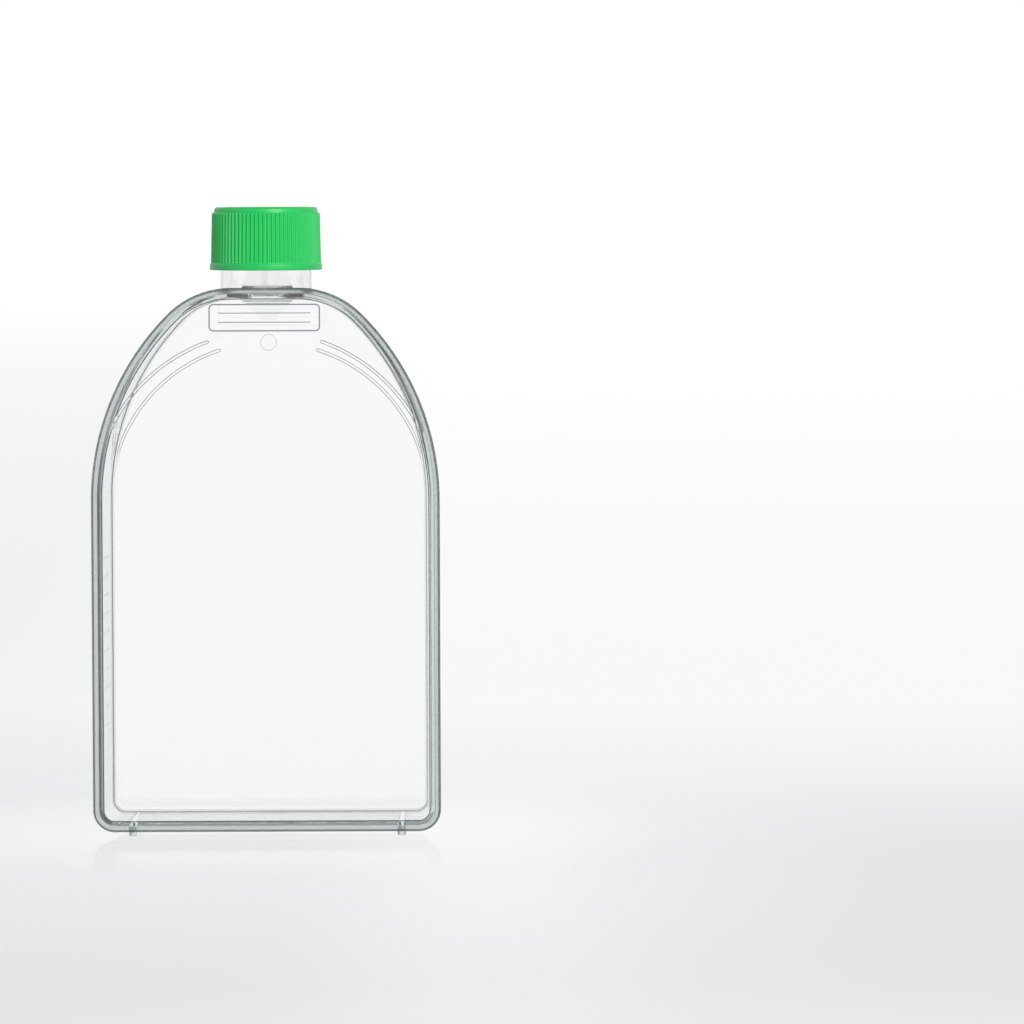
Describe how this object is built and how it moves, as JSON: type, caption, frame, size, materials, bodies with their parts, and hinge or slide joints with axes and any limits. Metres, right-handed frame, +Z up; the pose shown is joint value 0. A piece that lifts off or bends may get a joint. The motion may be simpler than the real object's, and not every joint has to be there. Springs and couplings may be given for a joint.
{
  "type": "cell culture flask",
  "caption": "Clear flat-sided culture flask with rounded shoulders, a ramped neck and a green ribbed screw cap with vent holes, standing on its end.",
  "frame": {"origin": "on the floor below the neck's axis, in the middle of the bounding box's base, with the flask standing on its end feet", "axes": "+Z up along the neck and the cap's screw axis, +X to the right across the flask, -Y out of the top plate (the lid), +Y out of the growth plate"},
  "size_m": [0.119, 0.0394, 0.2149],
  "materials": {
    "clear_polystyrene": "clear, glossy, moulded",
    "green_polyethylene": "satin, moulded",
    "white_membrane": "matt, porous"
  },
  "bodies": {
    "flask": {"flask_body": "clear_polystyrene", "top_plate": "clear_polystyrene"},
    "vent": {"vent_membrane": "white_membrane"},
    "cap": {"screw_cap": "green_polyethylene"}
  },
  "joints": [
    {"name": "cap_lift", "type": "slide", "parent": "flask", "child": "vent", "axis": [0, 0, 1], "range_m": [0, 0.0242]},
    {"name": "cap_turn", "type": "hinge", "parent": "vent", "child": "cap", "pos_m": [0, 0, 0.2], "axis": [0, 0, 1], "range_deg": [0, 2160]}
  ],
  "couplings": [
    {"joint": "cap_lift", "follows": "cap_turn", "m_per_rad": 0.00063662}
  ]
}
